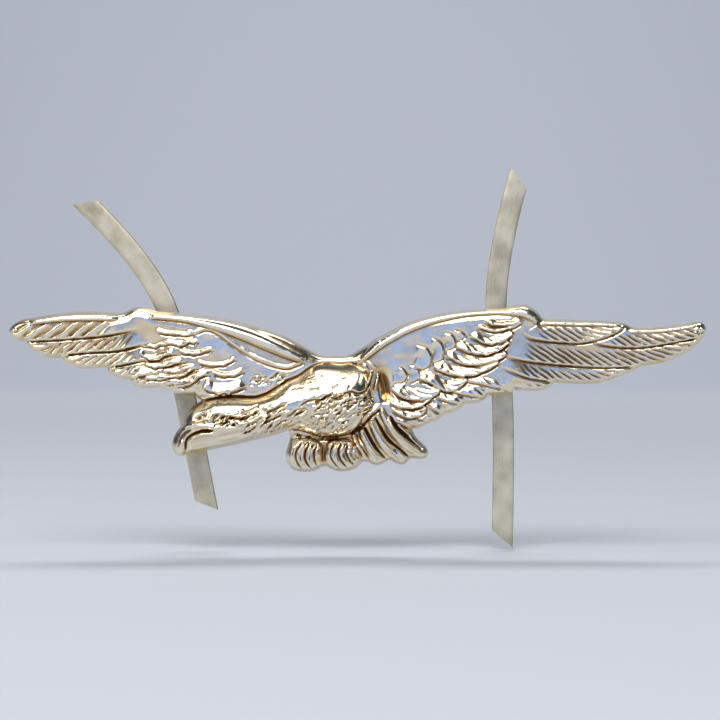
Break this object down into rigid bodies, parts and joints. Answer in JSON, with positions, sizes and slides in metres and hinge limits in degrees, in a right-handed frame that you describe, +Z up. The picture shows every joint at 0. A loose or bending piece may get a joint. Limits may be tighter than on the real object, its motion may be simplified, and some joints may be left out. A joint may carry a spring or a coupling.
{
  "type": "cap badge",
  "caption": "Hollow die-struck eagle badge in gilt brass, wings spread and head to the viewer's left, held by soft brass strips with fold-out prongs.",
  "frame": {"origin": "on the plane of the stamping's flat rim, at mid-span of the wings and level with the middles of both fixing strips", "axes": "+X to the viewer's right along the wings, +Y backwards into the cap (the way the prongs are pushed through), +Z up as worn; the struck front faces -Y"},
  "size_m": [0.064, 0.0059, 0.0352],
  "materials": {
    "gilt_brass": "polished gilt with toned recesses",
    "strip_brass": "dull satin, lightly toned",
    "solder": "dull grey"
  },
  "bodies": {
    "badge": {"eagle_stamping": "gilt_brass", "left_clip_base": "strip_brass", "right_clip_base": "strip_brass", "left_solder": "solder", "right_solder": "solder"},
    "left_upper": {"left_upper_prong": "strip_brass"},
    "left_lower": {"left_lower_prong": "strip_brass"},
    "right_upper": {"right_upper_prong": "strip_brass"},
    "right_lower": {"right_lower_prong": "strip_brass"}
  },
  "joints": [
    {"name": "left_upper_fold", "type": "hinge", "parent": "badge", "child": "left_upper", "pos_m": [-0.01713, 0.0024, 0.00172], "axis": [-0.9816, 0, -0.1908], "range_deg": [0, 90]},
    {"name": "left_lower_fold", "type": "hinge", "parent": "badge", "child": "left_lower", "pos_m": [-0.01647, 0.0024, -0.00172], "axis": [0.9816, 0, 0.1908], "range_deg": [0, 90]},
    {"name": "right_upper_fold", "type": "hinge", "parent": "badge", "child": "right_upper", "pos_m": [0.01295, 0.0024, 0.00174], "axis": [-0.9962, 0, -0.0872], "range_deg": [0, 90]},
    {"name": "right_lower_fold", "type": "hinge", "parent": "badge", "child": "right_lower", "pos_m": [0.01325, 0.0024, -0.00174], "axis": [0.9962, 0, 0.0872], "range_deg": [0, 90]}
  ]
}
